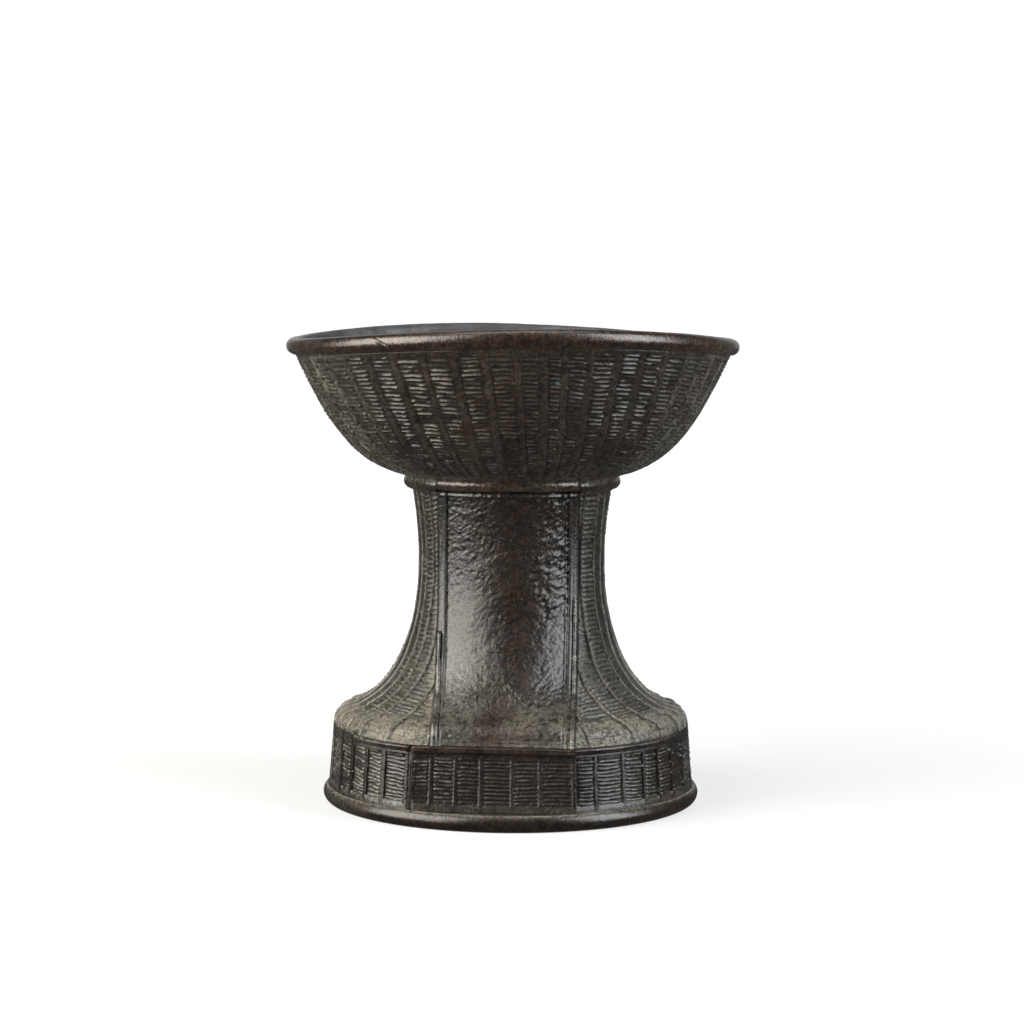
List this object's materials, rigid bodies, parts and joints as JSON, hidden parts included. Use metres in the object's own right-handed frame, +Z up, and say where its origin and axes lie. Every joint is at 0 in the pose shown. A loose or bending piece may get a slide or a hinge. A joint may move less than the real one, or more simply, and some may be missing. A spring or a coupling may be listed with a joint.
{
  "type": "footed bronze dish",
  "caption": "Open bronze dish of the deng kind on a waisted stem and drum foot, worked like split-bamboo basketwork, with a plain framed tablet on the front.",
  "frame": {"origin": "centre of the base, on the surface that the foot ring stands on", "axes": "+Z up; -Y is the front, which the tablet and the drum's flat facet face; +X to the right seen from the front"},
  "size_m": [0.1966, 0.1966, 0.2069],
  "materials": {
    "bowl_bronze": "dark brown patinated bronze, sunken basketwork fields with raised strokes",
    "lip_bronze": "brown bronze polished by handling",
    "inner_bronze": "dull dark bronze, unpolished",
    "tablet_bronze": "brown-black bronze, worn and pitted",
    "stem_bronze": "dark bronze with grey-green dust in the hollows",
    "drum_bronze": "dark bronze with worn strokes and dusty hollows",
    "solder": "dull grey solder",
    "foot_bronze": "brown bronze, rubbed on the bead"
  },
  "bodies": {
    "root": {"bowl_wall": "bowl_bronze", "bowl_lip": "lip_bronze", "neck_ring": "inner_bronze", "collar_bead": "lip_bronze", "collar_band": "lip_bronze", "front_tablet": "tablet_bronze", "stem_wall_left": "stem_bronze", "stem_wall_right": "stem_bronze", "drum_front": "drum_bronze", "drum_left": "drum_bronze", "drum_right": "drum_bronze", "corner_solder": "solder", "foot_ring": "foot_bronze"}
  },
  "joints": []
}
